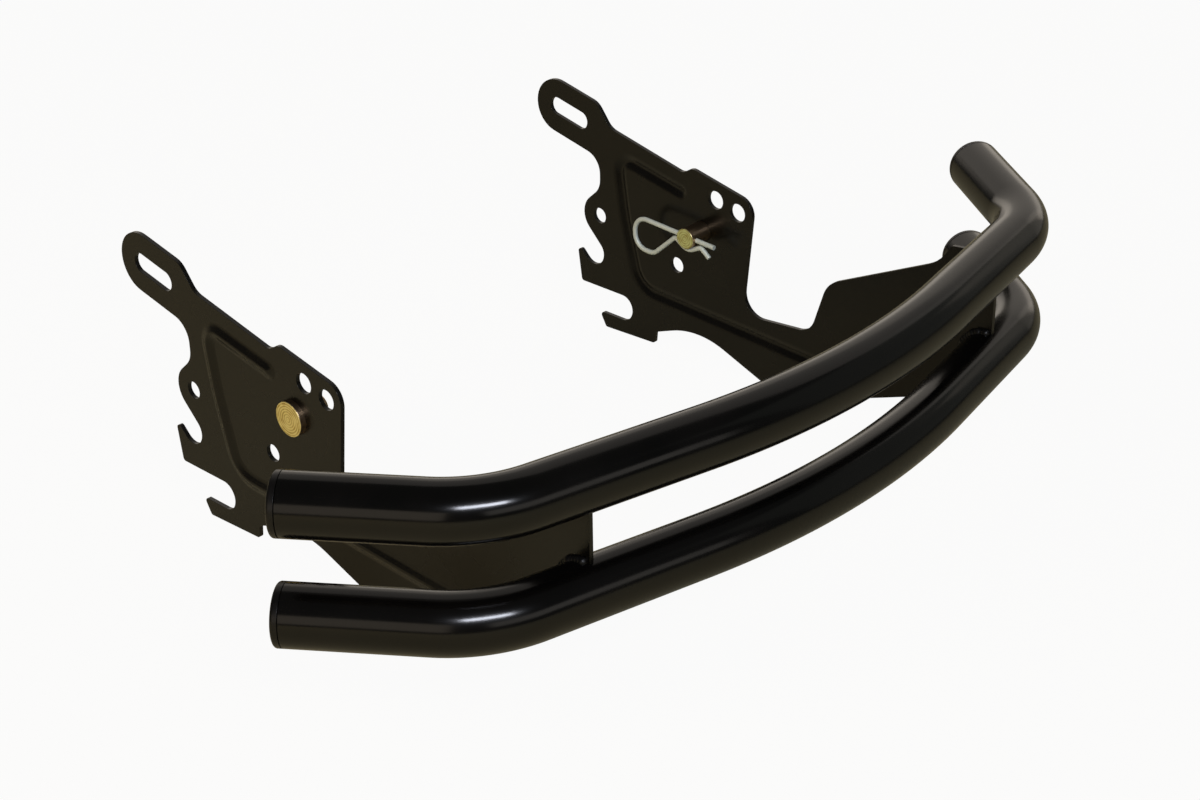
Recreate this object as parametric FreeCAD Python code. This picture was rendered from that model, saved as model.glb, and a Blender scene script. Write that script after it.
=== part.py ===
"""Front crash bar for a small vehicle.

Two bent round bars lie one above the other and are held by two stamped side plates. Each plate is coped
round both bars and welded to them. Behind the bars the plates carry a lug with a slot, two open hooks,
bolt holes and a clevis pin with its hairpin clip, which fasten the guard to the vehicle's frame.

Millimetres. +X runs across the vehicle, +Y to its rear and +Z up. Sizes are set out from the middle of
the bars' front: depth is counted backwards from the bars' centre line there, and height from midway
between the bars. The finished pieces are then moved so that the origin lies on the axis of the upper
bolt holes, midway between the plates.
"""
import FreeCAD, Part
import math
import os

# Bars: round steel tube bent in one plane
TUBE_DIAMETER = 38.1
TUBE_WALL = 2.0
BAR_SPACING = 72.2
FRONT_RADIUS = 553.0
FRONT_HALF_ANGLE = 12.4
SHOULDER_RUN = 113.8
BEND_RADIUS = 85.6
BEND_ANGLE = 41.4
UPPER_END_RUN = 79.6
LOWER_END_RUN = 83.4

# End caps: a flush disc on a hollow plug
CAP_THICKNESS = 4.5
CAP_EDGE_RADIUS = 2.0
PLUG_LENGTH = 14.0
PLUG_WALL = 2.2
PLUG_CLEARANCE = 0.05

# Side plates: stamped sheet
PLATES_OUTSIDE = 397.4
SHEET = 3.0
BOLT_HOLE_DIAMETER = 14.2
SMALL_HOLE_DIAMETER = 12.5
UPPER_HOLE = (271.7, 13.1)
CORNER_HOLE = (250.6, 8.8)
LOWER_HOLE = (309.3, -50.4)
EAR_HOLE = (389.4, -32.3)
CORNER_RADIUS = 13.8
EAR_RADIUS = 17.2

# Bay in the rear edge, under the lug
BAY_DEPTH = 388.8
BAY_TOP = 15.5
BAY_FOOT = -9.5
BAY_RADIUS = 16.0

# Slotted lug and the low strip in front of it, which lean forwards and down. A reach is counted along the lug's
# lower edge from the top of the bay, and a width square to that edge
LUG_ANGLE = 12.4
LUG_WIDTH = 42.6
LUG_END_PITCH = 12.6
SLOT_REACH = 37.5
SLOT_WIDTH = 14.0
SLOT_PITCH = 25.4
NECK_TOP_REACH = 11.9
NECK_FOOT_REACH = -5.0
NECK_RADIUS = 14.0
STRIP_WIDTH = 28.7
STRIP_END_DEPTH = 304.0

# Step from the strip up to the bolt corner
STEP_RUN = 9.0
STEP_RISE = 5.8
STEP_RADIUS = 8.0
CORNER_TIP = (235.4, 19.7)

# Arm that runs forward under the bolt corner and widens towards the bars
ARM_INNER_CORNER = (244.8, -71.5)
ARM_INNER_RADIUS = 17.0
RISE_FOOT = (180.2, -65.4)
RISE_FOOT_RADIUS = 16.0
RISE_TOP = (166.2, -22.0)
RISE_TOP_RADIUS = 22.0
UPPER_HORN_ROOT = (70.6, 23.6)
UPPER_HORN_TIP = (62.5, 38.0)
HORN_ROOT_RADIUS = 40.0
HORN_TIP_RADIUS = 3.0
FRONT_EDGE = 26.0
LOWER_HORN_ROOT = (78.0, -82.0)
BELLY = (201.4, -129.3)
BELLY_RADIUS = 50.0
ARCH = (288.1, -97.3)
ARCH_RADIUS = 73.0
ARCH_STEP = (331.3, -114.0)
STEP_FOOT = (332.2, -124.0)

# Rear edge under the bay: the ear and two open hooks
HOOK_WIDTH = 21.2
UPPER_HOOK = (396.3, -64.6)
UPPER_HOOK_LEAN = 45.0
UPPER_HOOK_TIP = 25.2
LOWER_HOOK = (366.2, -103.9)
REAR_CORNER_DEPTH = 409.8
LOWER_HOOK_TIP = 390.6
TOE = (384.0, -126.2)
HOOK_TIP_RADIUS = 2.5

# Pressed bead: back under the strip to a corner, down the rear and forward along the arm
BEAD_HEIGHT = 2.3
BEAD_SLOPE = 24.0
BEAD_CREST_RADIUS = 3.2
BEAD_FOOT_RADIUS = 9.0
BEAD_SINK = 0.06
BEAD_TOP_END = (306.5, 10.6)
BEAD_CORNER = (370.0, 23.2)
BEAD_CORNER_INSIDE = 1.2
BEAD_REAR = (363.0, -25.0)
BEAD_REAR_RADIUS = 150.0
BEAD_HEEL = (348.6, -80.7)
BEAD_HEEL_RADIUS = 22.0
BEAD_FRONT_END = (140.0, -89.6)

# Clevis pins with their heads outside, and hairpin clips through the shanks
PIN_CENTRE = (284.6, -15.3)
PIN_DIAMETER = 15.9
PIN_HOLE_DIAMETER = 16.5
PIN_HEAD_DIAMETER = 24.4
PIN_HEAD_THICKNESS = 4.6
PIN_REACH = 19.8
PIN_CHAMFER = 1.0
CROSS_HOLE_DIAMETER = 4.0
CROSS_HOLE_INSET = 4.6
WIRE_DIAMETER = 3.6
CLIP_TILT = 3.0
CLIP_LEG = 25.0
CLIP_LOOP_TOP = (54.5, 0.0)
CLIP_LOOP_FOOT = (51.5, -25.5)
CLIP_LOOP_HEEL = (33.3, -25.0)
CLIP_LOOP_RADIUS = 11.5
CLIP_HEEL_RADIUS = 10.0
CLIP_WAIST = (12.6, -4.2)
CLIP_WAIST_RADIUS = 3.0
CLIP_TAIL = (-21.0, -10.0)
CLIP_CLEARANCE = 0.05

# Weld beads in the corners between plates and bars
WELD_RADIUS = 3.2
WELD_OFFSET = 0.6
WELD_START = -88.0
WELD_END = 8.0

# Sizes that follow from the ones above
TUBE_RADIUS = TUBE_DIAMETER / 2
BORE_RADIUS = TUBE_RADIUS - TUBE_WALL
PLATE_OUTER = PLATES_OUTSIDE / 2
PLATE_INNER = PLATE_OUTER - SHEET
BAR_HEIGHTS = {"upper": BAR_SPACING / 2, "lower": -BAR_SPACING / 2}
END_RUNS = {"upper": UPPER_END_RUN, "lower": LOWER_END_RUN}
ORIGIN = FreeCAD.Vector(0, UPPER_HOLE[0], UPPER_HOLE[1])
ACROSS = FreeCAD.Vector(1, 0, 0)
SAME_POINT = 1e-6


def on_plate(place, level=PLATE_INNER):
    """A point of a plate drawing, given as depth and height, at a level across the vehicle."""
    return FreeCAD.Vector(level, place[0], place[1])


def rounded_path(corners, closed=False):
    """A wire through (point, radius) corners, each one rounded by an arc of its own radius."""
    last = len(corners) - 1
    turns = []
    for index, (point, radius) in enumerate(corners):
        if radius == 0 or (not closed and index in (0, last)):
            turns.append((point, None, point))
            continue
        back = (corners[index - 1][0] - point).normalize()
        ahead = (corners[(index + 1) % len(corners)][0] - point).normalize()
        half_angle = back.getAngle(ahead) / 2
        reach = radius / math.tan(half_angle)
        inward = (back + ahead).normalize()
        middle = point + inward * (radius / math.sin(half_angle) - radius)
        turns.append((point + back * reach, middle, point + ahead * reach))

    edges = []
    for index, (start, middle, end) in enumerate(turns):
        if middle is not None:
            edges.append(Part.Arc(start, middle, end).toShape())
        if closed or index < last:
            following = turns[(index + 1) % len(turns)][0]
            if end.distanceToPoint(following) > SAME_POINT:
                edges.append(Part.makeLine(end, following))
    return Part.Wire(edges)


def round_sweep(path, radius):
    """A solid round rod along a path."""
    first = path.Edges[0]
    start = first.valueAt(first.FirstParameter)
    heading = first.tangentAt(first.FirstParameter)
    ring = Part.Wire(Part.Circle(start, heading, radius).toShape())
    return path.makePipeShell([ring], True, False)


def turned(corners):
    """A solid of revolution about Z from (radius, height, rounding) corners."""
    outline = [(FreeCAD.Vector(radius, 0, height), rounding) for radius, height, rounding in corners]
    profile = Part.Face(rounded_path(outline, closed=True))
    return profile.revolve(FreeCAD.Vector(), FreeCAD.Vector(0, 0, 1), 360)


def bore(place, diameter):
    """A cutter for a hole straight through a plate."""
    start = on_plate(place, PLATE_INNER - SHEET)
    return Part.makeCylinder(diameter / 2, 3 * SHEET, start, ACROSS)


def mirrored(shape):
    """The left-hand twin of a right-hand piece."""
    return shape.mirror(FreeCAD.Vector(), ACROSS)


# Bars and their caps

def bar_corners(row):
    """Corners of one bar's centre line, from its left end to its right end, and its right heading."""
    height = BAR_HEIGHTS[row]
    lean = math.radians(FRONT_HALF_ANGLE)
    sweep = math.radians(FRONT_HALF_ANGLE + BEND_ANGLE)
    shoulder = FreeCAD.Vector(math.cos(lean), math.sin(lean), 0)
    heading = FreeCAD.Vector(math.cos(sweep), math.sin(sweep), 0)
    front_reach = FRONT_RADIUS * math.tan(lean)
    bend_reach = BEND_RADIUS * math.tan(math.radians(BEND_ANGLE) / 2)
    middle = FreeCAD.Vector(0, FRONT_RADIUS - FRONT_RADIUS / math.cos(lean), height)
    bend = middle + shoulder * (front_reach + SHOULDER_RUN + bend_reach)
    end = bend + heading * (bend_reach + END_RUNS[row])
    other_bend = FreeCAD.Vector(-bend.x, bend.y, bend.z)
    other_end = FreeCAD.Vector(-end.x, end.y, end.z)
    corners = [(other_end, 0), (other_bend, BEND_RADIUS), (middle, FRONT_RADIUS), (bend, BEND_RADIUS), (end, 0)]
    return corners, heading


def bar_rod(row):
    """The bar's outside as a solid rod."""
    corners, heading = bar_corners(row)
    return round_sweep(rounded_path(corners), TUBE_RADIUS)


def bar_tube(row):
    """The hollow bar."""
    corners, heading = bar_corners(row)
    return bar_rod(row).cut(round_sweep(rounded_path(corners), BORE_RADIUS))


def end_cap(row):
    """The cap in a bar's right end: a disc with a rounded edge on a hollow plug."""
    plug = BORE_RADIUS - PLUG_CLEARANCE
    cap = turned([
        (0, CAP_THICKNESS, 0),
        (TUBE_RADIUS, CAP_THICKNESS, CAP_EDGE_RADIUS),
        (TUBE_RADIUS, 0, 0),
        (plug, 0, 0),
        (plug, -PLUG_LENGTH, 1),
        (plug - PLUG_WALL, -PLUG_LENGTH, 0),
        (plug - PLUG_WALL, 0, 0),
        (0, 0, 0),
    ])
    corners, heading = bar_corners(row)
    turn = FreeCAD.Rotation(FreeCAD.Vector(0, 0, 1), heading)
    cap.Placement = FreeCAD.Placement(corners[-1][0], turn)
    return cap


# Side plates

def open_hook(centre, lean):
    """The two inner corners of a round-ended notch that opens backwards, leaning up by an angle."""
    half = HOOK_WIDTH / 2
    outward = (math.cos(math.radians(lean)), math.sin(math.radians(lean)))
    side = (-outward[1], outward[0])
    upper = (centre[0] + half * (side[0] - outward[0]), centre[1] + half * (side[1] - outward[1]))
    lower = (centre[0] - half * (side[0] + outward[0]), centre[1] - half * (side[1] + outward[1]))
    return upper, lower, outward


def slide(point, lean, depth):
    """The point at a given depth on a line through a point, leaning up towards the rear by an angle."""
    return (depth, point[1] + (depth - point[0]) * math.tan(math.radians(lean)))


def on_lug(reach, width):
    """The place a reach along the lug's lower edge and a width square to it."""
    lean = math.radians(LUG_ANGLE)
    depth = BAY_DEPTH + reach * math.cos(lean) - width * math.sin(lean)
    height = BAY_TOP + reach * math.sin(lean) + width * math.cos(lean)
    return depth, height


def lug_corners():
    """The corners from the step back along the strip and round the lug's full-round end into the bay."""
    step = slide(on_lug(0, STRIP_WIDTH), LUG_ANGLE, STRIP_END_DEPTH)
    half = LUG_WIDTH / 2
    end = SLOT_REACH + LUG_END_PITCH + half
    return [
        ((step[0] - STEP_RUN, step[1] + STEP_RISE), STEP_RADIUS),
        (step, STEP_RADIUS),
        (on_lug(NECK_FOOT_REACH, STRIP_WIDTH), NECK_RADIUS),
        (on_lug(NECK_TOP_REACH, LUG_WIDTH), NECK_RADIUS),
        (on_lug(end, LUG_WIDTH), half),
        (on_lug(end, 0), half),
        (on_lug(0, 0), BAY_RADIUS),
        ((BAY_DEPTH, BAY_FOOT), BAY_RADIUS),
    ]


def plate_outline():
    """The sheet's outline, from the bars back over the top edge, down the rear and along the bottom.

    The corners at the bars lie inside the tubes, so that coping leaves the sheet fitted to them.
    """
    upper_bar = BAR_HEIGHTS["upper"]
    lower_bar = BAR_HEIGHTS["lower"]
    half_hook = HOOK_WIDTH / 2
    upper_high, upper_low, upper_way = open_hook(UPPER_HOOK, UPPER_HOOK_LEAN)
    lower_high, lower_low, lower_way = open_hook(LOWER_HOOK, 0)
    ear = slide(upper_high, UPPER_HOOK_LEAN, EAR_HOLE[0] + EAR_RADIUS * math.sqrt(2))
    hook_tip = (upper_low[0] + UPPER_HOOK_TIP * upper_way[0], upper_low[1] + UPPER_HOOK_TIP * upper_way[1])
    corners = [
        ((FRONT_EDGE, lower_bar), 0),
        ((FRONT_EDGE, upper_bar), 0),
        ((FRONT_EDGE + TUBE_RADIUS, upper_bar + TUBE_RADIUS / 5), 0),
        (UPPER_HORN_TIP, HORN_TIP_RADIUS),
        (UPPER_HORN_ROOT, HORN_ROOT_RADIUS),
        (RISE_TOP, RISE_TOP_RADIUS),
        (RISE_FOOT, RISE_FOOT_RADIUS),
        (ARM_INNER_CORNER, ARM_INNER_RADIUS),
        (CORNER_TIP, CORNER_RADIUS),
        *lug_corners(),
        (ear, EAR_RADIUS),
        (upper_high, half_hook),
        (upper_low, half_hook),
        (hook_tip, HOOK_TIP_RADIUS),
        ((REAR_CORNER_DEPTH, lower_high[1]), HOOK_TIP_RADIUS),
        (lower_high, half_hook),
        (lower_low, half_hook),
        ((LOWER_HOOK_TIP, lower_low[1]), HOOK_TIP_RADIUS),
        (TOE, HOOK_TIP_RADIUS),
        (STEP_FOOT, HOOK_TIP_RADIUS),
        (ARCH_STEP, HOOK_TIP_RADIUS),
        (ARCH, ARCH_RADIUS),
        (BELLY, BELLY_RADIUS),
        (LOWER_HORN_ROOT, HORN_ROOT_RADIUS),
        ((FRONT_EDGE + TUBE_RADIUS * 0.8, lower_bar - TUBE_RADIUS * 0.6), 0),
    ]
    return rounded_path([(on_plate(place), radius) for place, radius in corners], closed=True)


def bead_half():
    """One side of the bead's cross-section as (run, rise, rounding) corners, its foot sunk into the sheet."""
    slope = math.radians(BEAD_SLOPE)
    crest = BEAD_CREST_RADIUS * math.tan(slope / 2)
    foot = crest + (BEAD_HEIGHT + BEAD_SINK) / math.tan(slope)
    edge = foot + 2 * BEAD_FOOT_RADIUS * math.tan(slope / 2)
    return [
        (crest, BEAD_HEIGHT, BEAD_CREST_RADIUS),
        (foot, -BEAD_SINK, BEAD_FOOT_RADIUS),
        (edge, -BEAD_SINK, 0),
        (edge, -SHEET / 2, 0),
    ]


def bead_section(point, heading, corners):
    """A wire through corners of the bead's cross-section, square to a heading at a point on the outer face."""
    side = heading.cross(ACROSS)
    places = [(point + side * run + ACROSS * rise, rounding) for run, rise, rounding in corners]
    return rounded_path(places, closed=True)


def bead():
    """The bead as a ridge on the plate's outer face, with a round end at each end of its path."""
    half = bead_half()
    other_half = [(-run, rise, rounding) for run, rise, rounding in reversed(half)]
    middle = [(0, -SHEET / 2, 0), (0, BEAD_HEIGHT, 0)]
    turn_radius = half[-1][0] + BEAD_CORNER_INSIDE
    corners = [
        (BEAD_TOP_END, 0),
        (BEAD_CORNER, turn_radius),
        (BEAD_REAR, BEAD_REAR_RADIUS),
        (BEAD_HEEL, BEAD_HEEL_RADIUS),
        (BEAD_FRONT_END, 0),
    ]
    path = rounded_path([(on_plate(place, PLATE_OUTER), radius) for place, radius in corners])
    first, last = path.Edges[0], path.Edges[-1]
    start, set_out = first.valueAt(first.FirstParameter), first.tangentAt(first.FirstParameter)
    finish, arrive = last.valueAt(last.LastParameter), last.tangentAt(last.LastParameter)
    body = path.makePipeShell([bead_section(start, set_out, other_half + half)], True, False)
    ends = []
    for point, heading, way in ((start, set_out, -1), (finish, arrive, 1)):
        profile = Part.Face(bead_section(point, heading, middle + half))
        ends.append(profile.revolve(point, ACROSS * way, 180))
    return body.fuse(ends)


def lug_slot():
    """A cutter for the slot in the lug, in line with the lug."""
    half = LUG_WIDTH / 2
    ends = [bore(on_lug(SLOT_REACH + way * SLOT_PITCH / 2, half), SLOT_WIDTH) for way in (-1, 1)]
    middle = Part.makeBox(3 * SHEET, SLOT_PITCH, SLOT_WIDTH, FreeCAD.Vector(0, -SLOT_PITCH / 2, -SLOT_WIDTH / 2))
    middle.rotate(FreeCAD.Vector(), ACROSS, LUG_ANGLE)
    middle.translate(on_plate(on_lug(SLOT_REACH, half), PLATE_INNER - SHEET))
    return ends + [middle]


def side_plate(rods):
    """The right-hand plate, with its bead, holes and slot, coped to both bars."""
    ridge = bead()
    plate = Part.Face(plate_outline()).extrude(ACROSS * SHEET)
    plate = plate.fuse(ridge).cut(ridge.translated(ACROSS * -SHEET))
    cutters = lug_slot()
    cutters.append(bore(PIN_CENTRE, PIN_HOLE_DIAMETER))
    for place in (UPPER_HOLE, CORNER_HOLE):
        cutters.append(bore(place, BOLT_HOLE_DIAMETER))
    for place in (LOWER_HOLE, EAR_HOLE):
        cutters.append(bore(place, SMALL_HOLE_DIAMETER))
    return plate.cut(cutters + rods).removeSplitter()


# Pins and clips

def clevis_pin():
    """The right-hand clevis pin, its head on the plate's outer face and its shank pointing inwards."""
    head = PIN_HEAD_DIAMETER / 2
    shank = PIN_DIAMETER / 2
    length = SHEET + PIN_REACH
    pin = turned([
        (0, PIN_HEAD_THICKNESS, 0),
        (head, PIN_HEAD_THICKNESS, PIN_CHAMFER),
        (head, 0, 0),
        (shank, 0, 0),
        (shank, -length, PIN_CHAMFER),
        (0, -length, 0),
    ])
    hole_height = CROSS_HOLE_INSET - length
    across = FreeCAD.Vector(0, -head, hole_height)
    pin = pin.cut(Part.makeCylinder(CROSS_HOLE_DIAMETER / 2, 2 * head, across, FreeCAD.Vector(0, 1, 0)))
    pin.rotate(FreeCAD.Vector(), FreeCAD.Vector(0, 1, 0), 90)
    pin.rotate(FreeCAD.Vector(), ACROSS, CLIP_TILT)
    pin.translate(on_plate(PIN_CENTRE, PLATE_OUTER))
    return pin


def hairpin_clip():
    """The clip of the right-hand pin: a straight leg through the shank and a waved leg that grips it."""
    grip = PIN_DIAMETER / 2 + WIRE_DIAMETER / 2 + CLIP_CLEARANCE
    waist, drop = CLIP_WAIST[0], -CLIP_WAIST[1]
    # Depth of the corner whose rounding runs concentric with the pin between the two waists
    spread = waist ** 2 - grip ** 2
    under = math.sqrt((grip ** 2 * drop) ** 2 + spread * grip ** 2 * (waist ** 2 + drop ** 2)) - grip ** 2 * drop
    corners = [
        ((-CLIP_LEG, 0), 0),
        (CLIP_LOOP_TOP, CLIP_LOOP_RADIUS),
        (CLIP_LOOP_FOOT, CLIP_LOOP_RADIUS),
        (CLIP_LOOP_HEEL, CLIP_HEEL_RADIUS),
        (CLIP_WAIST, CLIP_WAIST_RADIUS),
        ((0, -under / spread), grip),
        ((-waist, -drop), CLIP_WAIST_RADIUS),
        (CLIP_TAIL, 0),
    ]
    wire = rounded_path([(on_plate(place, 0), radius) for place, radius in corners])
    clip = round_sweep(wire, WIRE_DIAMETER / 2)
    clip.rotate(FreeCAD.Vector(), ACROSS, CLIP_TILT)
    clip.translate(on_plate(PIN_CENTRE, PLATE_INNER - PIN_REACH + CROSS_HOLE_INSET))
    return clip


# Welds

def bar_depth(level):
    """Depth of the bars' centre line where it crosses a level on the straight shoulder."""
    lean = math.radians(FRONT_HALF_ANGLE)
    apex = FRONT_RADIUS - FRONT_RADIUS / math.cos(lean)
    return apex + level * math.tan(lean)


def weld(row, face, rods):
    """A weld bead in the corner between a bar and one face of the right-hand plate."""
    level = PLATE_OUTER + WELD_OFFSET if face == "outer" else PLATE_INNER - WELD_OFFSET
    upward = 1 if row == "upper" else -1
    depth, height = bar_depth(level), BAR_HEIGHTS[row]
    centre = on_plate((depth, height), level)
    points = []
    for angle in (WELD_START, (WELD_START + WELD_END) / 2, WELD_END):
        turn = math.radians(angle)
        points.append(centre + FreeCAD.Vector(0, math.cos(turn), upward * math.sin(turn)) * TUBE_RADIUS)
    path = Part.Wire(Part.Arc(*points).toShape())
    ends = [Part.makeSphere(WELD_RADIUS, point) for point in (points[0], points[2])]
    corner = on_plate((depth - TUBE_DIAMETER, height - TUBE_DIAMETER))
    sheet = Part.makeBox(SHEET, 2 * TUBE_DIAMETER, 2 * TUBE_DIAMETER, corner)
    return round_sweep(path, WELD_RADIUS).fuse(ends).cut([sheet] + rods)


def pieces():
    """Every piece by its node name, in place."""
    rods = {row: bar_rod(row) for row in BAR_HEIGHTS}
    right = {
        "side_plate": side_plate(list(rods.values())),
        "clevis_pin": clevis_pin(),
        "hairpin_clip": hairpin_clip(),
    }
    for row in BAR_HEIGHTS:
        right[f"{row}_end_cap"] = end_cap(row)
        for face in ("outer", "inner"):
            right[f"{row}_{face}_weld"] = weld(row, face, list(rods.values()))
    named = {f"{row}_bar": bar_tube(row) for row in BAR_HEIGHTS}
    for name, shape in right.items():
        named[f"right_{name}"] = shape
        named[f"left_{name}"] = mirrored(shape)
    return named


def main():
    """Writes each piece to its own file."""
    os.makedirs("parts", exist_ok=True)
    for name, shape in pieces().items():
        shape.translate(-ORIGIN)
        shape.exportStep(os.path.join("parts", f"{name}.step"))
        print(name, shape.ShapeType, len(shape.Solids), round(shape.Volume), shape.isValid())


main()
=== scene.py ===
"""Looks of a front crash bar: black coated tubes and stamped plates, zinc-plated pins and clips."""

import logging
import math
from dataclasses import dataclass, field
from enum import Enum
from typing import Any

import bpy
from mathutils import Matrix, Vector


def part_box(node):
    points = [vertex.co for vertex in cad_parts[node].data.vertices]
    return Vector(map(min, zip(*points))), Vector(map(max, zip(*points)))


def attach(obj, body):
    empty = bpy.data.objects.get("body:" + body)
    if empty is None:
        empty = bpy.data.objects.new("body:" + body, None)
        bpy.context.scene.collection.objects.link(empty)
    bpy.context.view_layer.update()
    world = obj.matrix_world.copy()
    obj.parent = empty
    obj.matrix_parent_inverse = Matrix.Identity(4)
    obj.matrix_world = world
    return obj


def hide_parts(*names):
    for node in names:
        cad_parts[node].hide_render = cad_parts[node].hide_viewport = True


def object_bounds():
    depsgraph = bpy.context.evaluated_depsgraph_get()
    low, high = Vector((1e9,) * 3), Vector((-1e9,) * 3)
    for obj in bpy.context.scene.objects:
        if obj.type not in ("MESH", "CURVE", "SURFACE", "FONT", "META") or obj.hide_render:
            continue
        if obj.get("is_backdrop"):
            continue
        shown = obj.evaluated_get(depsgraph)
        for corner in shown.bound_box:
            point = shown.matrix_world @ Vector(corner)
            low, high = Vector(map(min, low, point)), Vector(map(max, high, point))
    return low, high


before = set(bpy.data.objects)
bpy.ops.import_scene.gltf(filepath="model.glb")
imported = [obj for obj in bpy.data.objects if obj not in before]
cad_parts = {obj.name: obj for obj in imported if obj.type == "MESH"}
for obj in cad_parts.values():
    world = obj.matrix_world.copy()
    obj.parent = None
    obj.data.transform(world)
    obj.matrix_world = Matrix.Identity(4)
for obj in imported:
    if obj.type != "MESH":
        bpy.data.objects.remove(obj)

LOG = logging.getLogger("crash_bar")
MM = 0.001
BODY = "root"
WHITE = "#ffffff"
# Faces that meet at a steeper angle than this, in degrees, keep a sharp edge between them.
FOLD_ANGLE = 40.0
# Points of a tube's wall that lie nearer than this are one point.
MERGE_MM = 0.01
# Values of the noise where the clouds of a black finish reach their two tones, and their two roughnesses.
CLOUD_TONES_AT = (0.35, 0.7)
CLOUD_ROUGHNESS_AT = (0.3, 0.7)
# Values of the marks and stains where a zinc plate reaches its two tones.
PLATE_TONES_AT = (0.35, 0.85)
# How far a face's direction lies along the axis where it starts to count as an end, and where it fully does.
# Ends take the paler tones, which are painted light.
END_FACE_AT = (0.45, 0.7)
# Distance from ring to ring of a wave texture at a scale of 1.
RING_PERIOD = 0.3142
# How strongly the turning marks colour a zinc plate, where its stains have a strength of 1.
RING_SHARE = 0.45
# Width of a stain in a zinc plate.
STAIN_MM = 4.0
# How much rougher the grooves of a zinc plate are than its lands.
GROOVE_DULLING = 0.12
# Numbers of a mix node's sockets for colours, and of a random value node's sockets for plain numbers.
MIX_SHARE, MIX_FIRST, MIX_SECOND, MIX_RESULT = 0, 6, 7, 2
RANDOM_LEAST, RANDOM_MOST, RANDOM_RESULT = 2, 3, 1


class Side(Enum):
    """The two halves of the guard, with the sign of their place across the vehicle."""

    RIGHT = 1
    LEFT = -1


class Row(Enum):
    """The two bars, with the sign of their height."""

    UPPER = 1
    LOWER = -1


class Face(Enum):
    """The two faces of a side plate that carry weld beads."""

    OUTER = 1
    INNER = -1


def linear(hex_colour: str) -> tuple[float, float, float, float]:
    """Turns an sRGB hex colour into linear values.

    Args:
        hex_colour: Six hex digits after a hash sign.

    Returns:
        Linear red, green and blue, and a full alpha.
    """
    channels = []
    for start in (1, 3, 5):
        value = int(hex_colour[start:start + 2], 16) / 255
        # The curve of the sRGB standard, which is straight near black.
        channels.append(value / 12.92 if value <= 0.04045 else ((value + 0.055) / 1.055) ** 2.4)
    return (channels[0], channels[1], channels[2], 1.0)


def add_node(
    tree: bpy.types.NodeTree,
    kind: str,
    settings: dict[Any, Any] | None = None,
    links: dict[Any, bpy.types.NodeSocket] | None = None,
) -> bpy.types.Node:
    """Adds a node with its settings and links.

    Args:
        tree: The node tree to add to.
        kind: The node's type name.
        settings: Values of properties, or of inputs by name or number.
        links: Output sockets to join to inputs, by name or number.

    Returns:
        The new node.
    """
    node = tree.nodes.new(kind)
    for name, value in (settings or {}).items():
        if isinstance(name, str) and name not in node.inputs:
            setattr(node, name, value)
        else:
            node.inputs[name].default_value = value
    for name, source in (links or {}).items():
        tree.links.new(source, node.inputs[name])
    return node


def new_material(name: str) -> tuple[bpy.types.Material, bpy.types.NodeTree]:
    """Makes an empty node material.

    Args:
        name: The material's name.

    Returns:
        The material and its node tree.
    """
    material = bpy.data.materials.new(name)
    material.use_nodes = True
    material.node_tree.nodes.clear()
    return material, material.node_tree


def shade(
    tree: bpy.types.NodeTree,
    share: bpy.types.NodeSocket,
    tones: tuple[str, str],
    span: tuple[float, float],
) -> bpy.types.NodeSocket:
    """Shades a pattern from one tone to another.

    Args:
        tree: The material's tree.
        share: The socket that gives the pattern.
        tones: Colours at the pattern's low and high spots.
        span: The pattern's values that take those two colours.

    Returns:
        The socket that gives the colour.
    """
    ramp = add_node(tree, "ShaderNodeValToRGB", links={"Fac": share})
    for element, tone, position in zip(ramp.color_ramp.elements, tones, span):
        element.color = linear(tone)
        element.position = position
    return ramp.outputs["Color"]


@dataclass(frozen=True)
class BlackFinish:
    """A black powder coat or moulded plastic, with a faint grain that softens what it mirrors.

    Args:
        name: The finish's name.
        tones: Colours of the darkest and the palest spots.
        roughness: Roughness of the smoothest and the dullest spots.
        gloss: Specular level.
        grain_mm: Width of one dimple of the grain, which on a powder coat is its orange peel.
        grain_depth_mm: Depth of a dimple.
        cloud_mm: Width of the slow changes in tone and roughness.
        edge_mm: Radius by which sharp edges look rounded off, or 0 where there are none.
    """

    name: str
    tones: tuple[str, str]
    roughness: tuple[float, float]
    gloss: float
    grain_mm: float
    grain_depth_mm: float
    cloud_mm: float
    edge_mm: float = 0.0

    def material(self) -> bpy.types.Material:
        """Builds the finish's material.

        Returns:
            The material.
        """
        material, tree = new_material(self.name)
        place = add_node(tree, "ShaderNodeTexCoord").outputs["Object"]
        cloud = add_node(
            tree, "ShaderNodeTexNoise",
            {"Scale": 1 / (self.cloud_mm * MM), "Detail": 3.0}, {"Vector": place},
        )
        colour = shade(tree, cloud.outputs["Fac"], self.tones, CLOUD_TONES_AT)
        rough = add_node(
            tree, "ShaderNodeMapRange",
            {
                "From Min": CLOUD_ROUGHNESS_AT[0],
                "From Max": CLOUD_ROUGHNESS_AT[1],
                "To Min": self.roughness[0],
                "To Max": self.roughness[1],
            },
            {"Value": cloud.outputs["Fac"]},
        )
        grain = add_node(
            tree, "ShaderNodeTexNoise",
            {"Scale": 1 / (self.grain_mm * MM), "Detail": 1.0}, {"Vector": place},
        )
        relief = {"Height": grain.outputs["Fac"]}
        if self.edge_mm:
            edge = add_node(tree, "ShaderNodeBevel", {"samples": 6, "Radius": self.edge_mm * MM})
            relief["Normal"] = edge.outputs["Normal"]
        bump = add_node(
            tree, "ShaderNodeBump", {"Strength": 1.0, "Distance": self.grain_depth_mm * MM}, relief,
        )
        shader = add_node(
            tree, "ShaderNodeBsdfPrincipled",
            {"IOR": 1.5, "Specular IOR Level": self.gloss},
            {
                "Base Color": colour,
                "Roughness": rough.outputs["Result"],
                "Normal": bump.outputs["Normal"],
            },
        )
        add_node(tree, "ShaderNodeOutputMaterial", links={"Surface": shader.outputs["BSDF"]})
        return material


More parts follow.
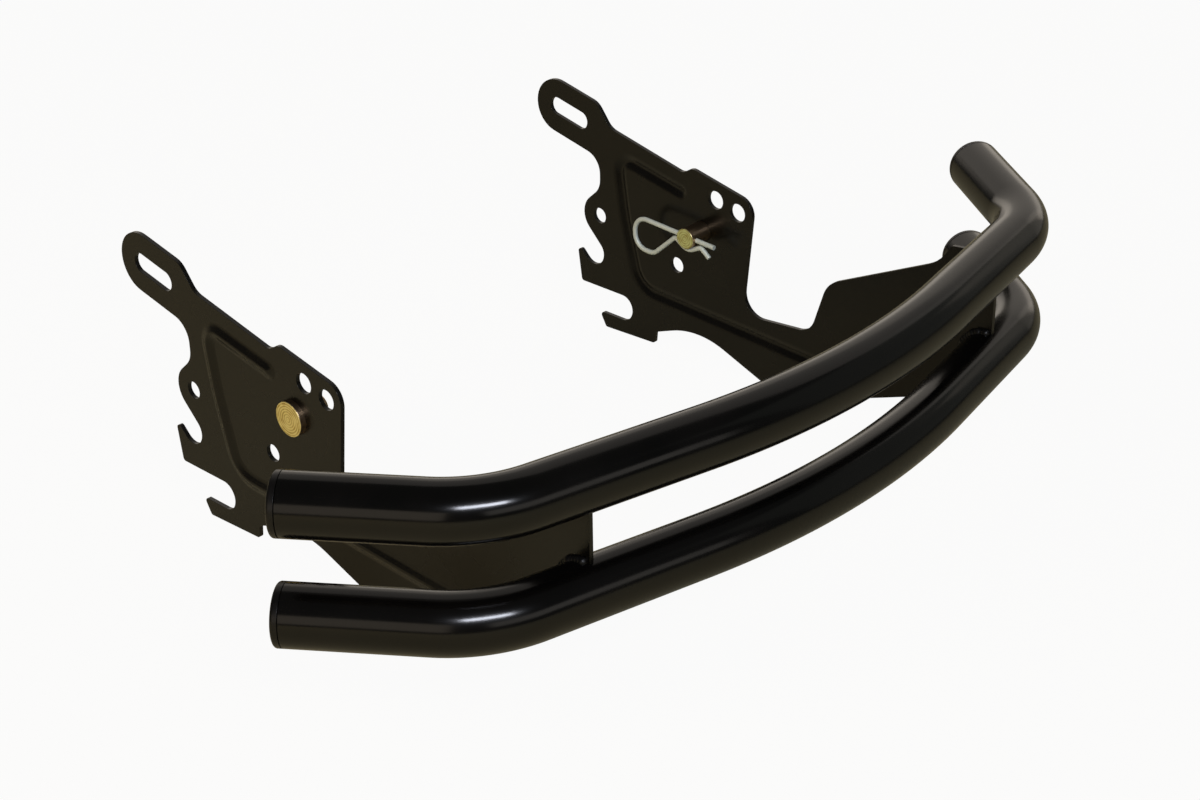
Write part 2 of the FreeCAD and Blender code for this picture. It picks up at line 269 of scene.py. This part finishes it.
@dataclass(frozen=True)
class LitEndFaces:
    """How a plated piece looks on its faces square to the axis, whose paler tones are painted light.

    Args:
        tones: Colours in the grooves and on the lands.
        metallic: How far the faces shine as bare metal.
    """

    tones: tuple[str, str]
    metallic: float


@dataclass(frozen=True)
class ZincPlate:
    """Zinc plate on turned or drawn steel: a bright metal with fine marks round one axis.

    Args:
        name: The finish's name.
        tones: Colours in the grooves and on the lands.
        roughness: Roughness of the lands.
        groove_mm: Distance from one turning mark to the next.
        groove_depth_mm: Depth of a turning mark.
        centre_mm: A point on the axis that the marks run round, which lies along X.
        metallic: How far the plate shines as bare metal, where its film of chromate doesn't dull it.
        ends: The look of faces square to the axis, where it differs. Its paler tones are painted light.
    """

    name: str
    tones: tuple[str, str]
    roughness: float
    groove_mm: float
    groove_depth_mm: float
    centre_mm: tuple[float, float, float]
    metallic: float
    ends: LitEndFaces | None = None

    def material(self) -> bpy.types.Material:
        """Builds the plated metal's material.

        Returns:
            The material.
        """
        material, tree = new_material(self.name)
        spot = add_node(tree, "ShaderNodeTexCoord").outputs
        place = spot["Object"]
        shift = tuple(-value * MM for value in self.centre_mm)
        centred = add_node(tree, "ShaderNodeMapping", {"Location": shift}, {"Vector": place})
        rings = add_node(
            tree, "ShaderNodeTexWave",
            {
                "wave_type": "RINGS",
                "rings_direction": "X",
                "Scale": RING_PERIOD / (self.groove_mm * MM),
                "Distortion": 0.2,
                "Detail": 2.0,
            },
            {"Vector": centred.outputs["Vector"]},
        )
        stain = add_node(
            tree, "ShaderNodeTexNoise", {"Scale": 1 / (STAIN_MM * MM), "Detail": 4.0}, {"Vector": place},
        )
        mixed = add_node(
            tree, "ShaderNodeMath", {"operation": "MULTIPLY_ADD", 1: RING_SHARE},
            {0: rings.outputs["Fac"], 2: stain.outputs["Fac"]},
        )
        colour = shade(tree, mixed.outputs["Value"], self.tones, PLATE_TONES_AT)
        shine = {}
        # Faces square to the axis take the paler end tones, painted light, and the sides keep the darker
        # tones, painted shade. Which is which goes by the way each face points.
        if self.ends:
            facing = add_node(tree, "ShaderNodeSeparateXYZ", links={"Vector": spot["Normal"]})
            square = add_node(tree, "ShaderNodeMath", {"operation": "ABSOLUTE"}, {0: facing.outputs["X"]})
            end = add_node(
                tree, "ShaderNodeMapRange", {"From Min": END_FACE_AT[0], "From Max": END_FACE_AT[1]},
                {"Value": square.outputs["Value"]},
            )
            lit_end_colour = shade(tree, mixed.outputs["Value"], self.ends.tones, PLATE_TONES_AT)
            both = add_node(
                tree, "ShaderNodeMix", {"data_type": "RGBA"},
                {MIX_SHARE: end.outputs["Result"], MIX_FIRST: colour, MIX_SECOND: lit_end_colour},
            )
            colour = both.outputs[MIX_RESULT]
            metal = add_node(
                tree, "ShaderNodeMapRange", {"To Min": self.metallic, "To Max": self.ends.metallic},
                {"Value": end.outputs["Result"]},
            )
            shine["Metallic"] = metal.outputs["Result"]
        rough = add_node(
            tree, "ShaderNodeMapRange",
            {"To Min": self.roughness + GROOVE_DULLING, "To Max": self.roughness},
            {"Value": mixed.outputs["Value"]},
        )
        bump = add_node(
            tree, "ShaderNodeBump",
            {"Strength": 1.0, "Distance": self.groove_depth_mm * MM}, {"Height": rings.outputs["Fac"]},
        )
        shader = add_node(
            tree, "ShaderNodeBsdfPrincipled",
            {"Metallic": self.metallic},
            {
                "Base Color": colour,
                "Roughness": rough.outputs["Result"],
                "Normal": bump.outputs["Normal"],
                **shine,
            },
        )
        add_node(tree, "ShaderNodeOutputMaterial", links={"Surface": shader.outputs["BSDF"]})
        return material


# Steel tube under a gloss powder coat, sprayed dry and baked. It is nearly black and mirrors the room in
# soft-edged bands along the tube. The orange peel is drawn coarser than the real 1.5 mm, to show.
BAR_COAT = BlackFinish(
    "gloss black powder coat", tones=("#030303", "#070606"), roughness=(0.14, 0.2), gloss=0.5,
    grain_mm=2.4, grain_depth_mm=0.005, cloud_mm=60.0,
)
# Stamped sheet under a satin powder coat. The flat faces mirror the table as one even brown-black sheen, and
# the rounded edges of the sheet and its bead catch a paler line. The orange peel is drawn at twice its real
# width, to show.
PLATE_COAT = BlackFinish(
    "satin black powder coat", tones=("#050403", "#080705"), roughness=(0.22, 0.3), gloss=0.5,
    grain_mm=1.6, grain_depth_mm=0.004, cloud_mm=45.0, edge_mm=0.3,
)
# The powder coat over a weld runs thin on the ripples, so the bead looks duller and rougher than the tube
# beside it.
WELD_COAT = BlackFinish(
    "black powder coat over a weld", tones=("#040404", "#0a0909"), roughness=(0.32, 0.45), gloss=0.35,
    grain_mm=1.0, grain_depth_mm=0.03, cloud_mm=6.0,
)
# Polyethylene from a spark-eroded mould: a duller, greyer black than the tube's coat, with a soft rim and an
# even fine grain. The grain is drawn several times as coarse as the real one, to show.
CAP_PLASTIC = BlackFinish(
    "black moulded polyethylene", tones=("#060606", "#0c0b0b"), roughness=(0.26, 0.34), gloss=0.45,
    grain_mm=0.5, grain_depth_mm=0.004, cloud_mm=15.0, edge_mm=0.4,
)
# The yellow of the chromate on the pins' faced ends, painted paler as the light that they catch. The right
# pin's ends get a greener cast, painted to stand for the greener light that falls on them there.
PIN_LIT_END_TONES = {Side.RIGHT: ("#9c8c3c", "#dbe19c"), Side.LEFT: ("#ac8c39", "#f1e194")}


def bake(holder: bpy.types.Object, name: str) -> bpy.types.Object:
    """Turns an object with a live node tree into a plain mesh object and removes the first.

    Args:
        holder: The object that carries the node tree.
        name: Name of the finished piece.

    Returns:
        The finished piece.
    """
    bpy.context.view_layer.update()
    graph = bpy.context.evaluated_depsgraph_get()
    mesh = bpy.data.meshes.new_from_object(holder.evaluated_get(graph))
    bpy.data.objects.remove(holder)
    mesh.name = name
    piece = bpy.data.objects.new(name, mesh)
    bpy.context.scene.collection.objects.link(piece)
    return piece


def settle(piece: bpy.types.Object, node: str) -> None:
    """Lets a finished piece stand for a CAD node.

    Args:
        piece: The finished piece.
        node: The CAD node that it replaces.
    """
    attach(piece, BODY)
    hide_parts(node)
    LOG.info("%s stands for %s", piece.name, node)


def dress(node: str, material: bpy.types.Material) -> None:
    """Gives a CAD node a finish.

    Args:
        node: The CAD node.
        material: Its finish.
    """
    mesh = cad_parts[node].data
    mesh.materials.clear()
    mesh.materials.append(material)
    LOG.info("%s wears %s", node, material.name)


class NodeTree:
    """A Geometry Nodes tree with named inputs, and the modifier that runs it."""

    def __init__(self, name: str, inputs: dict[str, str]) -> None:
        """Starts the tree with a geometry input and output.

        Args:
            name: The tree's name.
            inputs: Socket types of the further inputs, by name.
        """
        self.tree = bpy.data.node_groups.new(name, "GeometryNodeTree")
        sockets = self.tree.interface
        sockets.new_socket("Geometry", in_out="INPUT", socket_type="NodeSocketGeometry")
        self.keys = {
            label: sockets.new_socket(label, in_out="INPUT", socket_type=kind).identifier
            for label, kind in inputs.items()
        }
        sockets.new_socket("Geometry", in_out="OUTPUT", socket_type="NodeSocketGeometry")
        self.given = add_node(self.tree, "NodeGroupInput").outputs

    def end(self, geometry: bpy.types.NodeSocket) -> None:
        """Ends the tree: realizes what it made, sets its finish and hands it out.

        Args:
            geometry: The socket that gives the finished geometry.
        """
        real = add_node(self.tree, "GeometryNodeRealizeInstances", links={"Geometry": geometry})
        smooth = add_node(
            self.tree, "GeometryNodeSetShadeSmooth", links={"Geometry": real.outputs["Geometry"]},
        )
        angle = add_node(self.tree, "GeometryNodeInputMeshEdgeAngle")
        folded = add_node(
            self.tree, "FunctionNodeCompare",
            {"data_type": "FLOAT", "operation": "GREATER_THAN", 1: math.radians(FOLD_ANGLE)},
            {0: angle.outputs["Unsigned Angle"]},
        )
        sharp = add_node(
            self.tree, "GeometryNodeSetShadeSmooth", {"domain": "EDGE", "Shade Smooth": False},
            {"Geometry": smooth.outputs["Geometry"], "Selection": folded.outputs["Result"]},
        )
        painted = add_node(
            self.tree, "GeometryNodeSetMaterial",
            links={"Geometry": sharp.outputs["Geometry"], "Material": self.given["Material"]},
        )
        add_node(self.tree, "NodeGroupOutput", links={0: painted.outputs["Geometry"]})

    def run(self, line: bpy.types.Mesh, values: dict[str, Any], name: str) -> bpy.types.Object:
        """Runs the tree on a line and bakes the result.

        Args:
            line: A mesh of points and edges that the tree follows.
            values: The inputs' values, by name.
            name: Name of the finished piece.

        Returns:
            The finished piece.
        """
        holder = bpy.data.objects.new(name + "_line", line)
        bpy.context.scene.collection.objects.link(holder)
        modifier = holder.modifiers.new(self.tree.name, "NODES")
        modifier.node_group = self.tree
        for label, value in values.items():
            modifier[self.keys[label]] = value
        return bake(holder, name)


def tube_tree() -> NodeTree:
    """Makes the tree that bends a hollow round tube along a line, rounding each corner by its own radius.

    Returns:
        The tree.
    """
    made = NodeTree("tube along a bent line", {
        "Tube Radius": "NodeSocketFloat",
        "Wall": "NodeSocketFloat",
        "Sides": "NodeSocketInt",
        "Arc Steps": "NodeSocketInt",
        "Material": "NodeSocketMaterial",
    })
    tree, given = made.tree, made.given
    line = add_node(tree, "GeometryNodeMeshToCurve", links={"Mesh": given["Geometry"]})
    bend = add_node(tree, "GeometryNodeInputNamedAttribute", {"data_type": "FLOAT", "Name": "bend_radius"})
    path = add_node(
        tree, "GeometryNodeFilletCurve", {"mode": "POLY", "Limit Radius": False},
        {
            "Curve": line.outputs["Curve"],
            "Radius": bend.outputs["Attribute"],
            "Count": given["Arc Steps"],
        },
    )
    ring = add_node(
        tree, "GeometryNodeCurvePrimitiveCircle",
        links={"Resolution": given["Sides"], "Radius": given["Tube Radius"]},
    )
    girth = add_node(tree, "GeometryNodeInputNamedAttribute", {"data_type": "FLOAT", "Name": "girth"})
    skin = add_node(
        tree, "GeometryNodeCurveToMesh",
        links={
            "Curve": path.outputs["Curve"],
            "Profile Curve": ring.outputs["Curve"],
            "Scale": girth.outputs["Attribute"],
        },
    )
    inward = add_node(tree, "ShaderNodeMath", {"operation": "MULTIPLY", 1: -1.0}, {0: given["Wall"]})
    lining = add_node(
        tree, "GeometryNodeExtrudeMesh", {"Individual": False},
        {"Mesh": skin.outputs["Mesh"], "Offset Scale": inward.outputs["Value"]},
    )
    bore = add_node(tree, "GeometryNodeFlipFaces", links={"Mesh": lining.outputs["Mesh"]})
    walls = add_node(tree, "GeometryNodeJoinGeometry", links={"Geometry": skin.outputs["Mesh"]})
    tree.links.new(bore.outputs["Mesh"], walls.inputs["Geometry"])
    tube = add_node(
        tree, "GeometryNodeMergeByDistance", {"Distance": MERGE_MM * MM},
        {"Geometry": walls.outputs["Geometry"]},
    )
    made.end(tube.outputs["Geometry"])
    return made


def ripple_tree() -> NodeTree:
    """Makes the tree that lays a weld bead: overlapping drops along an arc, joined into one skin.

    Returns:
        The tree.
    """
    made = NodeTree("weld drops along an arc", {
        "Drop Radius": "NodeSocketFloat",
        "Pitch": "NodeSocketFloat",
        "Unevenness": "NodeSocketFloat",
        "Seed": "NodeSocketInt",
        "Material": "NodeSocketMaterial",
    })
    tree, given = made.tree, made.given
    line = add_node(tree, "GeometryNodeMeshToCurve", links={"Mesh": given["Geometry"]})
    spots = add_node(
        tree, "GeometryNodeCurveToPoints", {"mode": "LENGTH"},
        {"Curve": line.outputs["Curve"], "Length": given["Pitch"]},
    )
    drop = add_node(
        tree, "GeometryNodeMeshUVSphere", {"Segments": 16, "Rings": 10}, {"Radius": given["Drop Radius"]},
    )
    least = add_node(
        tree, "ShaderNodeMath", {"operation": "SUBTRACT", 0: 1.0}, {1: given["Unevenness"]},
    )
    most = add_node(tree, "ShaderNodeMath", {"operation": "ADD", 0: 1.0}, {1: given["Unevenness"]})
    size = add_node(
        tree, "FunctionNodeRandomValue", {"data_type": "FLOAT"},
        {
            RANDOM_LEAST: least.outputs["Value"],
            RANDOM_MOST: most.outputs["Value"],
            "Seed": given["Seed"],
        },
    )
    drops = add_node(
        tree, "GeometryNodeInstanceOnPoints",
        links={
            "Points": spots.outputs["Points"],
            "Instance": drop.outputs["Mesh"],
            "Scale": size.outputs[RANDOM_RESULT],
        },
    )
    bead = add_node(
        tree, "GeometryNodeMeshBoolean", {"operation": "UNION", "solver": "EXACT"},
        {"Mesh 2": drops.outputs["Instances"]},
    )
    made.end(bead.outputs["Mesh"])
    return made


def open_line(name: str, points: list[Vector], notes: dict[str, list[float]] | None = None) -> bpy.types.Mesh:
    """Makes a mesh of points joined in a row.

    Args:
        name: The mesh's name.
        points: The points, in metres.
        notes: A number for each point under each attribute's name, for the tree to read.

    Returns:
        The mesh.
    """
    mesh = bpy.data.meshes.new(name)
    mesh.from_pydata(points, [(index, index + 1) for index in range(len(points) - 1)], [])
    for label, numbers in (notes or {}).items():
        mesh.attributes.new(label, "FLOAT", "POINT").data.foreach_set("value", numbers)
    return mesh


@dataclass
class Bars:
    """The two bent tubes, one above the other.

    Sizes are in millimetres and degrees. Depth is counted back from the front of the tubes' centre lines, and
    height from midway between them. The origin is the depth and height of the shared frame's zero.
    """

    diameter: float = 38.1
    wall: float = 2.0
    end_chamfer: float = 0.6
    spacing: float = 72.2
    front_radius: float = 553.0
    front_half_angle: float = 12.4
    shoulder_run: float = 113.8
    bend_radius: float = 85.6
    bend_angle: float = 41.4
    end_runs: dict[Row, float] = field(default_factory=lambda: {Row.UPPER: 79.6, Row.LOWER: 83.4})
    origin: tuple[float, float] = (271.7, 13.1)
    sides: int = 96
    arc_steps: int = 64

    def place(self, across: float, depth: float, height: float) -> Vector:
        """A point in metres in the shared frame."""
        return Vector((across, depth - self.origin[0], height - self.origin[1])) * MM

    def height(self, row: Row) -> float:
        """Height of a bar's centre line."""
        return row.value * self.spacing / 2

    def apex(self) -> float:
        """Depth where the two shoulders' lines meet, in front of the tubes' centre line."""
        return self.front_radius - self.front_radius / math.cos(math.radians(self.front_half_angle))

    def depth_at(self, level: float) -> float:
        """Depth of the centre line where it crosses a level on the straight shoulder."""
        return self.apex() + level * math.tan(math.radians(self.front_half_angle))

    def corners(self, row: Row) -> tuple[list[Vector], dict[str, list[float]]]:
        """Works out the corners of one bar's centre line.

        Args:
            row: Which bar.

        Returns:
            The corners from left to right in metres, and the rounding and the share of full girth at each.
        """
        lean = math.radians(self.front_half_angle)
        sweep = math.radians(self.front_half_angle + self.bend_angle)
        bend_reach = self.bend_radius * math.tan(math.radians(self.bend_angle) / 2)
        run = self.front_radius * math.tan(lean) + self.shoulder_run + bend_reach
        last = bend_reach + self.end_runs[row]
        bend = (run * math.cos(lean), self.apex() + run * math.sin(lean))
        half = [bend]
        for reach in (last - self.end_chamfer, last):
            half.append((bend[0] + reach * math.cos(sweep), bend[1] + reach * math.sin(sweep)))
        other_half = [(-across, depth) for across, depth in reversed(half)]
        flat = other_half + [(0.0, self.apex())] + half
        points = [self.place(across, depth, self.height(row)) for across, depth in flat]
        bend_radius, front_radius = self.bend_radius * MM, self.front_radius * MM
        lip = 1 - 2 * self.end_chamfer / self.diameter
        return points, {
            "bend_radius": [0.0, 0.0, bend_radius, front_radius, bend_radius, 0.0, 0.0],
            "girth": [lip, 1.0, 1.0, 1.0, 1.0, 1.0, lip],
        }

    def build(self, tree: NodeTree, coat: bpy.types.Material) -> None:
        """Builds both tubes and lets them stand for their CAD nodes.

        Args:
            tree: The tree that bends a tube along a line.
            coat: The tubes' finish.
        """
        for row in Row:
            node = f"{row.name.lower()}_bar"
            points, notes = self.corners(row)
            values = {
                "Tube Radius": self.diameter / 2 * MM,
                "Wall": self.wall * MM,
                "Sides": self.sides,
                "Arc Steps": self.arc_steps,
                "Material": coat,
            }
            piece = tree.run(open_line(node, points, notes), values, f"{node}_tube")
            settle(piece, node)


@dataclass
class Welds:
    """The fillet welds between the plates and the bars.

    Sizes are in millimetres and degrees. The offset is how far a bead's line lies off the plate's face, and
    the unevenness is the share by which its drops differ in size.
    """

    plates_outside: float = 397.4
    sheet: float = 3.0
    drop_radius: float = 3.1
    pitch: float = 2.6
    unevenness: float = 0.12
    offset: float = 0.6
    start: float = -88.0
    end: float = 8.0
    steps: int = 24

    def arc(self, bars: Bars, side: Side, row: Row, face: Face) -> list[Vector]:
        """Works out the line of one bead.

        Args:
            bars: The bars that the bead runs round.
            side: Which plate.
            row: Which bar.
            face: Which face of the plate.

        Returns:
            Points along the bead, in metres.
        """
        outer = self.plates_outside / 2
        level = outer + self.offset if face is Face.OUTER else outer - self.sheet - self.offset
        points = []
        for step in range(self.steps + 1):
            turn = math.radians(self.start + (self.end - self.start) * step / self.steps)
            depth = bars.depth_at(level) + bars.diameter / 2 * math.cos(turn)
            height = bars.height(row) + row.value * bars.diameter / 2 * math.sin(turn)
            points.append(bars.place(side.value * level, depth, height))
        return points

    def build(self, bars: Bars, tree: NodeTree, coat: bpy.types.Material) -> None:
        """Lays every bead and lets it stand for its CAD node.

        Args:
            bars: The bars that the beads run round.
            tree: The tree that lays drops along a line.
            coat: The beads' finish.
        """
        seed = 0
        for side in Side:
            for row in Row:
                for face in Face:
                    seed += 1
                    node = f"{side.name.lower()}_{row.name.lower()}_{face.name.lower()}_weld"
                    values = {
                        "Drop Radius": self.drop_radius * MM,
                        "Pitch": self.pitch * MM,
                        "Unevenness": self.unevenness,
                        "Seed": seed,
                        "Material": coat,
                    }
                    line = open_line(node, self.arc(bars, side, row, face))
                    settle(tree.run(line, values, f"{node}_bead"), node)


@dataclass(frozen=True)
class SideSet:
    """One side's plate, pin and clip, and the caps in the bars' ends on that side.

    Args:
        side: Which side.
    """

    side: Side

    def name(self) -> str:
        """The side's name, as the CAD nodes have it."""
        return self.side.name.lower()

    def middle_mm(self, piece: str) -> tuple[float, float, float]:
        """The middle of a piece's box, in millimetres."""
        low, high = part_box(f"{self.name()}_{piece}")
        return tuple((low + high) / 2 / MM)

    def pin_zinc(self) -> ZincPlate:
        """The yellow zinc of the clevis pin, with its turning marks round the pin's axis."""
        # Turned steel with yellow chromate over zinc, with faint rings. The sides are a darker brown-gold,
        # which is painted shade, and the faced ends a paler lemon-gold, which is painted light. The rings are
        # drawn coarser than the real feed of a lathe, to show.
        return ZincPlate(
            f"{self.name()} yellow zinc plate", tones=("#866c54", "#bca282"), roughness=0.34, groove_mm=1.8,
            groove_depth_mm=0.08, centre_mm=self.middle_mm("clevis_pin"), metallic=1.0,
            ends=LitEndFaces(tones=PIN_LIT_END_TONES[self.side], metallic=0.55),
        )

    def clip_zinc(self) -> ZincPlate:
        """The bright zinc of the hairpin clip, with faint drawing marks."""
        # Drawn spring wire with clear zinc plate: a pale silver with a broad soft shine, not a mirror. The
        # marks are drawn far coarser than those of a drawing die, to show at all.
        return ZincPlate(
            f"{self.name()} bright zinc plate", tones=("#c0cbc8", "#d4dfdb"), roughness=0.5, groove_mm=0.9,
            groove_depth_mm=0.004, centre_mm=self.middle_mm("hairpin_clip"), metallic=0.3,
        )

    def build(self, plate_coat: bpy.types.Material, cap_plastic: bpy.types.Material) -> None:
        """Gives the side's CAD nodes their finishes.

        Args:
            plate_coat: The plate's finish.
            cap_plastic: The caps' finish.
        """
        dress(f"{self.name()}_side_plate", plate_coat)
        dress(f"{self.name()}_clevis_pin", self.pin_zinc().material())
        dress(f"{self.name()}_hairpin_clip", self.clip_zinc().material())
        for row in Row:
            dress(f"{self.name()}_{row.name.lower()}_end_cap", cap_plastic)


@dataclass(frozen=True)
class Softbox:
    """A soft lamp that faces the object.

    Args:
        name: The lamp's name.
        azimuth: Its bearing in degrees, from the rear towards the right.
        elevation: Its height in degrees over the table.
        size: Width and height in metres.
        brightness: Brightness of its face, where a lit white sheet is 1.
        tint: Its colour.
        mirrored: Whether glossy surfaces mirror it.
    """

    name: str
    azimuth: float
    elevation: float
    size: tuple[float, float]
    brightness: float
    tint: str
    mirrored: bool = True

    def hang(self, distance: float) -> None:
        """Hangs the lamp.

        Args:
            distance: Its distance from the object's middle, in metres.
        """
        turn, tilt = math.radians(self.azimuth), math.radians(self.elevation)
        away = Vector((math.sin(turn) * math.cos(tilt), math.cos(turn) * math.cos(tilt), math.sin(tilt)))
        data = bpy.data.lights.new(self.name, "AREA")
        data.shape = "RECTANGLE"
        data.size, data.size_y = self.size
        data.energy = self.brightness * math.pi * self.size[0] * self.size[1]
        data.color = linear(self.tint)[:3]
        lamp = bpy.data.objects.new(self.name, data)
        lamp.location = away * distance
        lamp.rotation_euler = away.to_track_quat("Z", "Y").to_euler()
        lamp.visible_camera = False
        lamp.visible_glossy = self.mirrored
        bpy.context.scene.collection.objects.link(lamp)


# The key gives the small bright highlights on the left bends. The window and the pale walls are what the
# tubes mirror as bands. The fill isn't mirrored itself, and lights the table that the left plate mirrors.
SOFTBOXES = (
    Softbox("key", -151, 36, (0.95, 0.26), 29.0, "#eef2ff"),
    Softbox("window", -174, 14, (1.8, 0.5), 0.6, "#fff8ee"),
    Softbox("left fill", -85, 32, (1.2, 1.2), 6.2, "#ffe8c8", mirrored=False),
    Softbox("left wall", -112, 13, (1.4, 0.9), 0.6, "#ffeed6"),
    Softbox("rear wall foot", 55, 7, (3.6, 0.55), 0.5, "#fff3e2"),
    Softbox("rear wall", 55, 17, (3.6, 1.35), 0.27, "#fff3e2"),
    Softbox("rear wall head", 55, 34, (3.4, 2.7), 0.3, "#fff6ec"),
    Softbox("rear wall end", 100, 12, (0.9, 1.0), 0.25, "#fff3e2"),
    Softbox("right wall", 125, 22, (2.2, 1.7), 0.08, "#fbfff0"),
)


@dataclass
class Studio:
    """A pale table with soft light, seen from the photograph's place.

    Sizes are in metres and degrees, apart from those of the lens. The camera's bearing is counted from the
    front towards the right. The shares say how much of the table's look is plain white, seen straight and
    mirrored.
    """

    position: tuple[float, float, float] = (-0.9775, -0.9976, 0.6439)
    azimuth: float = -46.38
    elevation: float = 27.74
    roll: float = -0.82
    lens_mm: float = 67.67
    sensor_mm: float = 36.0
    sight: float = 50.0
    floor_size: float = 14.0
    floor_gap: float = 0.002
    floor_colour: str = "#a8a284"
    white_share: float = 0.95
    mirrored_share: float = 0.03
    room_colour: str = "#d0d0ca"
    room_brightness: float = 0.08
    lamp_distance: float = 2.2

    def camera(self) -> None:
        """Sets up the camera at the photograph's angle."""
        turn, tilt, roll = (math.radians(angle) for angle in (self.azimuth, self.elevation, self.roll))
        back = Vector((math.sin(turn) * math.cos(tilt), -math.cos(turn) * math.cos(tilt), math.sin(tilt)))
        level = Vector((math.cos(turn), math.sin(turn), 0))
        above = back.cross(level)
        right = level * math.cos(roll) + above * math.sin(roll)
        up = above * math.cos(roll) - level * math.sin(roll)
        data = bpy.data.cameras.new("camera")
        data.lens = self.lens_mm
        data.sensor_width = self.sensor_mm
        data.clip_end = self.sight
        camera = bpy.data.objects.new("camera", data)
        turned = Matrix((right, up, back)).transposed().to_4x4()
        camera.matrix_world = Matrix.Translation(self.position) @ turned
        bpy.context.scene.collection.objects.link(camera)
        bpy.context.scene.camera = camera

    def floor(self, height: float) -> None:
        """Lays the table.

        Args:
            height: Height of the object's lowest point.
        """
        mesh = bpy.data.meshes.new("table")
        half = self.floor_size / 2
        level = height - self.floor_gap
        corners = [(-half, -half, level), (half, -half, level), (half, half, level), (-half, half, level)]
        mesh.from_pydata(corners, [], [(0, 1, 2, 3)])
        material, tree = new_material("pale table")
        ray = add_node(tree, "ShaderNodeLightPath")
        paper = add_node(tree, "ShaderNodeBsdfDiffuse", {"Color": linear(self.floor_colour)})
        glow = add_node(tree, "ShaderNodeEmission", {"Color": linear(WHITE), "Strength": 1.0})
        beyond = add_node(
            tree, "ShaderNodeMath", {"operation": "MAXIMUM"},
            {0: ray.outputs["Is Glossy Ray"], 1: ray.outputs["Is Transmission Ray"]},
        )
        mirrored = add_node(
            tree, "ShaderNodeMath", {"operation": "MULTIPLY", 1: self.mirrored_share},
            {0: beyond.outputs["Value"]},
        )
        seen = add_node(
            tree, "ShaderNodeMath", {"operation": "MULTIPLY_ADD", 1: self.white_share},
            {0: ray.outputs["Is Camera Ray"], 2: mirrored.outputs["Value"]},
        )
        both = add_node(
            tree, "ShaderNodeMixShader",
            links={0: seen.outputs["Value"], 1: paper.outputs["BSDF"], 2: glow.outputs["Emission"]},
        )
        add_node(tree, "ShaderNodeOutputMaterial", links={"Surface": both.outputs["Shader"]})
        mesh.materials.append(material)
        table = bpy.data.objects.new("table", mesh)
        bpy.context.scene.collection.objects.link(table)
        table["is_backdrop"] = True

    def world(self) -> None:
        """Fills the room with dim light, and shows white behind the object."""
        world = bpy.data.worlds.new("studio")
        world.use_nodes = True
        tree = world.node_tree
        tree.nodes.clear()
        ray = add_node(tree, "ShaderNodeLightPath")
        room = add_node(
            tree, "ShaderNodeBackground",
            {"Color": linear(self.room_colour), "Strength": self.room_brightness},
        )
        white = add_node(
            tree, "ShaderNodeBackground", {"Color": linear(WHITE), "Strength": self.white_share},
        )
        both = add_node(
            tree, "ShaderNodeMixShader",
            links={
                0: ray.outputs["Is Camera Ray"],
                1: room.outputs["Background"],
                2: white.outputs["Background"],
            },
        )
        add_node(tree, "ShaderNodeOutputWorld", links={"Surface": both.outputs["Shader"]})
        bpy.context.scene.world = world

    def build(self, height: float) -> None:
        """Sets up the camera, the table and the light.

        Args:
            height: Height of the object's lowest point.
        """
        self.camera()
        self.floor(height)
        self.world()
        for softbox in SOFTBOXES:
            softbox.hang(self.lamp_distance)
        bpy.context.scene.view_settings.view_transform = "Standard"


def main() -> None:
    """Builds and dresses the guard, and sets up the studio."""
    logging.basicConfig(level=logging.INFO, format="%(name)s: %(message)s")
    cad_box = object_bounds()
    bars = Bars()
    bars.build(tube_tree(), BAR_COAT.material())
    Welds().build(bars, ripple_tree(), WELD_COAT.material())
    plate_coat = PLATE_COAT.material()
    cap_plastic = CAP_PLASTIC.material()
    for side in Side:
        SideSet(side).build(plate_coat, cap_plastic)
    lowest = cad_box[0][2]
    Studio().build(lowest)


if __name__ == "__main__":
    main()
